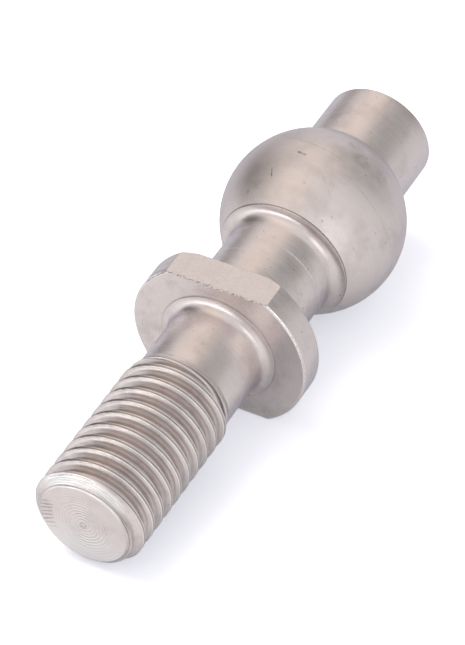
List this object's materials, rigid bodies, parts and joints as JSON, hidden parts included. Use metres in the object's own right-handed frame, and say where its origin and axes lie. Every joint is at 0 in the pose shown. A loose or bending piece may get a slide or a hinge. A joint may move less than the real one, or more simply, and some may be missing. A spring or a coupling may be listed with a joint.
{
  "type": "ball stud",
  "caption": "Ball stud with a metric threaded end, a collar with two wrench flats, a neck, a ball seated on a shoulder, and a plain round spigot.",
  "frame": {"origin": "centre of the ball", "axes": "+Y along the stud from the threaded end towards the spigot; +Z is the outward normal of one wrench flat, so the stud lies along Y"},
  "size_m": [0.0164, 0.0531, 0.0164],
  "materials": {
    "stud_steel": "fine-turned satin steel, slightly warm",
    "ball_steel": "smooth satin steel with faint turning arcs"
  },
  "bodies": {
    "root": {"stud": "stud_steel", "ball": "ball_steel"}
  },
  "joints": []
}
